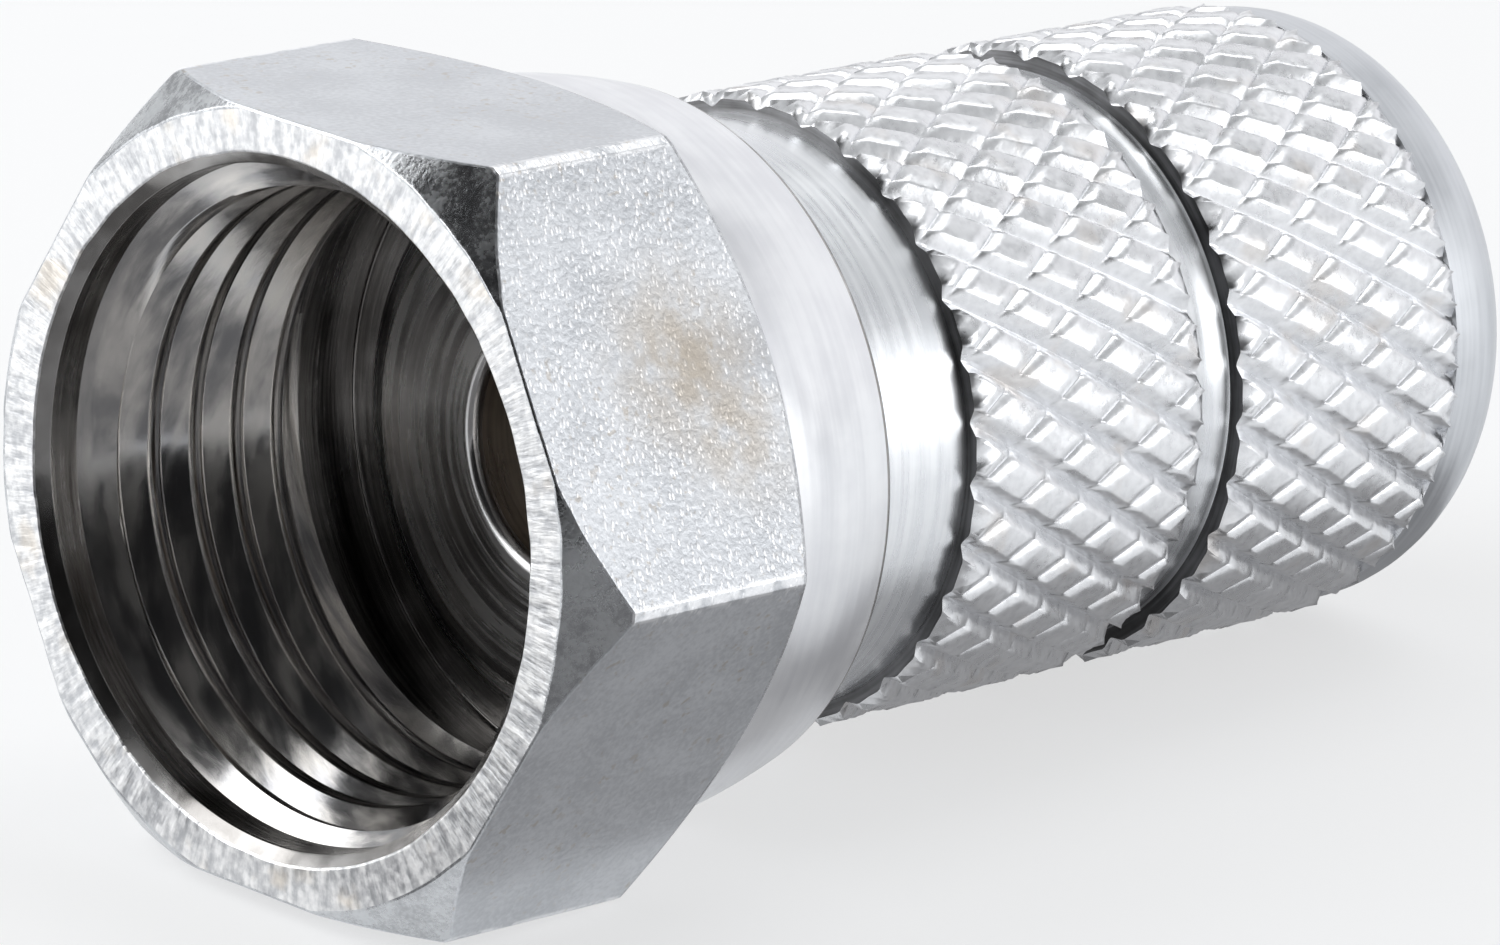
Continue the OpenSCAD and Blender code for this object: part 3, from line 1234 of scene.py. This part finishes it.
@dataclass
class KnurledBody:
    """The body: a smooth collar, two knurled bands with a groove between, a tail and the cable bore."""

    reach: Reach = field(default_factory=lambda: Reach.of(Node.BODY))
    jacket_r: float = field(default_factory=lambda: mount_size("jacket_bore", "r_mm"))
    spigot_end: float = field(default_factory=lambda: Reach.of(Node.FERRULE).end)
    collar_r: float = 4.31
    collar_len: float = 2.25
    collar_edge: float = 0.06
    band_len: float = 4.72
    groove_w: float = 0.86
    groove_r: float = 4.26
    groove_edge: float = 0.06
    groove_hollow: float = 0.03
    tail_r: float = 4.5
    tail_round: float = 1.2
    jacket_mouth_r: float = 3.25
    jacket_thread_pitch: float = 1.05
    jacket_thread_depth: float = 0.2
    spigot_r: float = 2.6
    knurl_count: int = 31
    knurl_cell: float = 1.57
    knurl_depth: float = 0.22
    knurl_ripple: float = 0.008
    knurl_crease: float = math.radians(65)

    def knurl(self) -> Knurl:
        """The knurl's pattern, with whole half-cells in a band."""
        rows = max(2, round(2 * self.band_len / self.knurl_cell))
        return Knurl(self.knurl_count, rows, self.band_len / rows, self.reach.side - self.knurl_depth,
                     self.knurl_depth)

    def build(self) -> bpy.types.Object:
        """Builds the body as one closed mesh.

        Returns:
            The dressed piece, riding on the body.
        """
        knurl = self.knurl()
        angles, border = knurl.border()
        count = len(angles)
        collar_end = self.reach.start + self.collar_len
        groove = (collar_end + self.band_len, collar_end + self.band_len + self.groove_w)
        tail = groove[1] + self.band_len
        shell = Shell()
        tree = KnurlTree("diamond_knurl")
        shine = BODY_PALETTE.zones[Zone.FLAT].material()
        for start in (collar_end, groove[1]):
            shell.add(*tree.band(knurl, start, shine), Zone.FLAT)
        bpy.data.materials.remove(shine)

        def wall(x: float, r: float) -> np.ndarray:
            """A flat ring from the scalloped edge of a band to a radius."""
            edge = np.stack([np.full(count, x), border], axis=1)[:, None]
            middle = np.stack([np.full(count, x), (border + r) / 2], axis=1)[:, None]
            return np.concatenate([edge, middle, repeated([(x, r)], count)], axis=1)

        # These walls take the near-black wall finish, which is painted shade
        for x, r in ((collar_end, self.collar_r), (groove[0], self.groove_r), (groove[1], self.groove_r)):
            shell.add_grid(turned(wall(x, r), angles), Zone.RIM)
        shell.add_grid(turned(wall(tail, self.tail_r), angles), Zone.FLAT)
        edge, deep = self.groove_edge, self.groove_r - self.groove_hollow
        floor = [(groove[0], self.groove_r), (groove[0] + edge, deep), (sum(groove) / 2, deep),
                 (groove[1] - edge, deep), (groove[1], self.groove_r)]
        shell.add_grid(turned(repeated(floor, count), angles), Zone.TURNED)
        self.add_outside(shell, angles, tail, collar_end)
        piece = shell.mesh("knurled_body_turned", self.ripple, self.knurl_crease)
        BODY_PALETTE.dress(piece)
        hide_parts(Node.BODY.value)
        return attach(piece, "body")

    def add_outside(self, shell: Shell, angles: np.ndarray, tail: float, collar_end: float) -> None:
        """Adds the tail, the cable bore, the front face and the collar as one long surface.

        Args:
            shell: Where the surface goes.
            angles: The columns' angles in degrees.
            tail: Where the tail starts.
            collar_end: Where the collar ends.
        """
        end, count = self.reach.end, len(angles)
        round_start = end - self.tail_round
        centre_r = self.tail_r - self.tail_round
        arc = [(round_start + self.tail_round * math.sin(t), centre_r + self.tail_round * math.cos(t))
               for t in np.linspace(0, math.pi / 2, 13)]
        bevel = self.jacket_mouth_r - self.jacket_r
        thread_root = self.jacket_r + self.jacket_thread_depth
        thread_end = end - bevel
        before = [(tail, self.tail_r), (tail + 0.05, self.tail_r), *arc,
                  (end, self.jacket_mouth_r + 0.02), (end - 0.01, self.jacket_mouth_r - 0.01),
                  (thread_end, thread_root)]
        start, front, collar = self.spigot_end, self.reach.start, self.collar_r
        edge, hold, rear = self.collar_edge, 0.04, 0.03
        after = [(start + 0.02, thread_root), (start, thread_root), (start, self.spigot_r),
                 (front, self.spigot_r), (front, collar - edge - hold), (front, collar - edge),
                 (front + edge / 3, collar - edge / 3), (front + edge, collar),
                 (front + edge + hold, collar), (front + self.collar_len / 2, collar),
                 (collar_end - rear - hold, collar), (collar_end - rear, collar), (collar_end, collar)]
        spans = [Zone.CHAMFER] * (len(before) - 3) + [Zone.BORE] * 3
        spans += [Zone.BORE] * 4 + [Zone.TURNED] * (len(after) - 5)
        thread = HelicalThread(start + 0.05, thread_end - 0.02, thread_root, self.jacket_r,
                               self.jacket_thread_pitch, crest_flat=0.12, root_flat=0.35, run_in=0.4,
                               run_out=0.5)
        add_threaded(shell, repeated(before, count), thread, repeated(after, count), angles, spans,
                     closed=False)

    def ripple(self, points: np.ndarray) -> np.ndarray:
        """Unevenness of the knurl, which was pressed in and then plated.

        Args:
            points: The body's points.

        Returns:
            Each point's shift.
        """
        r = np.hypot(points[:, 1], points[:, 2])
        # It fades in above the collar, and the tail behind the last pads stays smooth
        on_bands = points[:, 0] < self.reach.end - TAIL_LEN - 0.01
        knurled = np.clip((r - self.collar_r) / 0.1, 0, 1) * on_bands
        uneven = wave(points, 1.2, 7.0) + wave(points, 3.0, 11.0)
        return outward(points, knurled * self.knurl_ripple * uneven)


# ---------------------------------------------------------------- studio


def direction(azimuth: float, elevation: float) -> Vector:
    """A direction seen from the connector.

    Args:
        azimuth: Degrees from +X towards +Y.
        elevation: Degrees above the horizon.

    Returns:
        The unit vector.
    """
    turn, rise = math.radians(azimuth), math.radians(elevation)
    return Vector((math.cos(turn) * math.cos(rise), math.sin(turn) * math.cos(rise), math.sin(rise)))


def aimed(azimuth: float, elevation: float, distance: float, aim: Vector, axis: str) -> Matrix:
    """Places a thing round the connector so that one of its axes points at it.

    Args:
        azimuth: Degrees from +X towards +Y.
        elevation: Degrees above the horizon.
        distance: Distance from the aim in millimetres.
        aim: The point it faces, in metres.
        axis: The axis that points at the aim, such as -Z.

    Returns:
        The thing's place and turn.
    """
    away = direction(azimuth, elevation)
    turn = (-away).to_track_quat(axis, "Y").to_matrix().to_4x4()
    return Matrix.Translation(aim + away * distance * MM) @ turn


@dataclass(frozen=True)
class Lamp:
    """A soft square lamp aimed at the connector. Its glow is how bright it looks in a mirror."""

    name: str
    azimuth: float
    elevation: float
    distance: float
    size: float
    glow: float

    def build(self, aim: Vector) -> None:
        """Makes the lamp.

        Args:
            aim: The point it shines at, in metres.
        """
        side = self.size * MM
        data = bpy.data.lights.new(self.name, "AREA")
        data.shape, data.size, data.energy = "SQUARE", side, self.glow * math.pi * side * side
        placed(self.name, data).matrix_world = aimed(self.azimuth, self.elevation, self.distance, aim, "-Z")


def rectangle(x: tuple[float, float], y: tuple[float, float]) -> list[tuple[float, float]]:
    """A rectangle's corners, in order round it.

    Args:
        x: Its two limits along X.
        y: Its two limits along Y.

    Returns:
        The four corners.
    """
    return [(x[0], y[0]), (x[1], y[0]), (x[1], y[1]), (x[0], y[1])]


def sheet(name: str, corners: Sequence[Sequence[float]]) -> bpy.types.Object:
    """Makes a flat sheet that belongs to the stage.

    Args:
        name: The sheet's name.
        corners: Its four corners in millimetres.

    Returns:
        The sheet.
    """
    data = bpy.data.meshes.new(name)
    data.from_pydata([tuple(c * MM for c in corner) for corner in corners], [], [(0, 1, 2, 3)])
    made = placed(name, data)
    return made


def mirrored_sheet(name: str, corners: Sequence[Sequence[float]], shade: float) -> bpy.types.Object:
    """Makes a sheet that only the metal sees, to give its reflections shape.

    Args:
        name: The sheet's name.
        corners: Its four corners in millimetres.
        shade: How bright it is, where 1 is white.

    Returns:
        The sheet.
    """
    made = sheet(name, corners)
    paint = bpy.data.materials.new(name)
    paint.use_nodes = True
    paint.node_tree.nodes.clear()
    wiring = Wiring(paint.node_tree)
    glow = wiring.node("ShaderNodeEmission", in_Color=(shade, shade, shade * 1.02, 1))
    wiring.node("ShaderNodeOutputMaterial", in_Surface=glow.outputs[0])
    made.data.materials.append(paint)
    made.visible_camera = made.visible_diffuse = made.visible_shadow = False
    made.visible_transmission = made.visible_volume_scatter = False
    return made


@dataclass(frozen=True)
class Card:
    """A standing sheet that only the metal sees."""

    name: str
    azimuth: float
    elevation: float
    distance: float
    width: float
    height: float
    shade: float

    def build(self, aim: Vector) -> None:
        """Makes the card, facing the connector.

        Args:
            aim: The point it faces, in metres.
        """
        w, h = self.width / 2, self.height / 2
        corners = [(x, y, 0) for x, y in rectangle((-w, w), (-h, h))]
        made = mirrored_sheet(self.name, corners, self.shade)
        made.matrix_world = aimed(self.azimuth, self.elevation, self.distance, aim, "Z")


@dataclass(frozen=True)
class Mat:
    """A dark sheet just above the floor that only the metal sees: painted shade in the floor it reflects,
    beside the connector and in front of its mouth.
    """

    name: str
    x: tuple[float, float]
    y: tuple[float, float]
    shade: float
    lift: float = 0.2

    def build(self, height: float, slope: float) -> None:
        """Lays the mat.

        Args:
            height: The floor's height at X = 0 in millimetres.
            slope: The floor's rise along X.
        """
        corners = [(x, y, height + slope * x + self.lift) for x, y in rectangle(self.x, self.y)]
        mirrored_sheet(self.name, corners, self.shade)


@dataclass
class Studio:
    """Floor, backdrop, lamps, cards and camera."""

    floor_size: float = 1200.0
    floor_white: float = 0.6
    floor_mirrored: float = 0.35
    nut_flat_end: float = 4.59
    camera_aim: tuple[float, float, float] = (3.973, 0.141, -0.993)
    camera_distance: float = 155.484
    azimuth: float = -136.563
    elevation: float = 16.062
    roll: float = 3.99
    lens: float = 259.946
    sensor: float = 36.0
    room_light: float = 0.55
    mirrored_room: float = 0.55
    lamp_aim: tuple[float, float, float] = (4.5, 0, 0)
    lamps: tuple[Lamp, ...] = (
        Lamp("lamp_right", 298, 10, 200, 130, 2.0),
        Lamp("lamp_back", 64, 8, 220, 90, 1.3),
        Lamp("lamp_overhead", -5, 70, 200, 110, 1.9),
        Lamp("lamp_back_left", 138, 32, 200, 180, 2.3),
        Lamp("lamp_left_low", 142, 8, 220, 110, 2.0),
    )
    cards: tuple[Card, ...] = (
        Card("card_by_camera", 208, 18, 150, 330, 230, 0.02),
        Card("card_overhead_left", 180, 58, 150, 110, 110, 0.02),
        Card("card_right", 12, 18, 240, 430, 180, 0.95),
    )
    # Painted shade in the floor that the metal reflects, in front of the mouth and beside the nut and body
    mats: tuple[Mat, ...] = (
        Mat("mat_before_mouth", (-70, -7), (-45, 5), 0.24),
        Mat("mat_beside_nut", (-6, 4.5), (-13, -4), 0.34),
        Mat("mat_beside_body", (4.5, 18), (-6.5, 1), 0.30),
    )

    def floor_line(self) -> tuple[float, float]:
        """The floor below the axis, which touches the nut's rear edge and the body's last crest.

        Returns:
            Its height at X = 0, and its rise along X.
        """
        nut, body = Reach.of(Node.NUT), Reach.of(Node.BODY)
        front, rear = nut.start + self.nut_flat_end, body.end - TAIL_LEN
        slope = (nut.top - body.side) / (rear - front)
        return -nut.top - slope * front, slope

    def build_floor(self) -> None:
        """Makes the pale floor, leaning as the connector does where it lies."""
        height, slope = self.floor_line()
        span = (-self.floor_size / 2, self.floor_size / 2)
        floor = sheet("floor", [(x, y, height + slope * x) for x, y in rectangle(span, span)])
        floor.data.materials.append(self.floor_paint())
        for mat in self.mats:
            mat.build(height, slope)

    def floor_paint(self) -> bpy.types.Material:
        """A pale matt floor that looks white to the camera and still shows the shadow.

        Returns:
            The material.
        """
        paint = bpy.data.materials.new("floor_white")
        paint.use_nodes = True
        wiring, nodes = Wiring(paint.node_tree), paint.node_tree.nodes
        matt = nodes["Principled BSDF"]
        matt.inputs["Base Color"].default_value = (0.86, 0.87, 0.88, 1)
        matt.inputs["Roughness"].default_value = 0.8
        matt.inputs["Specular IOR Level"].default_value = 0.1
        seen = wiring.node("ShaderNodeLightPath").outputs
        for_camera = wiring.math("MULTIPLY", seen["Is Camera Ray"], self.floor_white)
        for_metal = wiring.math("MULTIPLY", seen["Is Glossy Ray"], self.floor_mirrored)
        blend = wiring.node("ShaderNodeMixShader", in_0=wiring.math("ADD", for_camera, for_metal),
                            in_1=matt.outputs[0], in_2=wiring.node("ShaderNodeEmission").outputs[0])
        wiring.feed(nodes["Material Output"].inputs["Surface"], blend.outputs[0])
        return paint

    def build_world(self) -> None:
        """A soft white room: plain light, and white where the camera or the metal sees it."""
        world = bpy.data.worlds.new("room")
        bpy.context.scene.world = world
        world.use_nodes = True
        wiring, nodes = Wiring(world.node_tree), world.node_tree.nodes
        light = nodes["Background"]
        light.inputs["Color"].default_value = (0.95, 0.97, 1.0, 1)
        light.inputs["Strength"].default_value = self.room_light
        white, mirrored = (
            wiring.node("ShaderNodeBackground", in_Color=(0.97, 0.985, 1.0, 1), in_Strength=glow)
            for glow in (1.0, self.mirrored_room))
        seen = wiring.node("ShaderNodeLightPath").outputs
        glossy = wiring.math("MAXIMUM", seen["Is Glossy Ray"], seen["Is Transmission Ray"])
        for_metal = wiring.node("ShaderNodeMixShader", in_0=glossy, in_1=light.outputs[0],
                                in_2=mirrored.outputs[0])
        for_camera = wiring.node("ShaderNodeMixShader", in_0=seen["Is Camera Ray"],
                                 in_1=for_metal.outputs[0], in_2=white.outputs[0])
        wiring.feed(nodes["World Output"].inputs["Surface"], for_camera.outputs[0])

    def build_camera(self) -> None:
        """Places the camera, turned a little about its own line of sight."""
        data = bpy.data.cameras.new("camera")
        data.lens, data.sensor_width = self.lens, self.sensor
        data.clip_start, data.clip_end = 0.001, 10.0
        made = placed("camera", data)
        facing = aimed(self.azimuth, self.elevation, self.camera_distance, Vector(self.camera_aim) * MM, "-Z")
        made.matrix_world = facing @ Matrix.Rotation(math.radians(self.roll), 4, "Z")
        bpy.context.scene.camera = made

    def build(self) -> None:
        """Builds the whole studio."""
        self.build_camera()
        self.build_floor()
        self.build_world()
        aim = Vector(self.lamp_aim) * MM
        for thing in (*self.lamps, *self.cards):
            thing.build(aim)
        bpy.context.scene.view_settings.view_transform = "Standard"


def main() -> None:
    """Builds the studio and the three pieces."""
    logging.basicConfig(level=logging.INFO, format="%(name)s: %(message)s")
    Studio().build()
    for part in (CouplingNut(), ContactFerrule(), KnurledBody()):
        piece = part.build()
        LOG.info("%s is in place", piece.name)


if __name__ == "__main__":
    main()
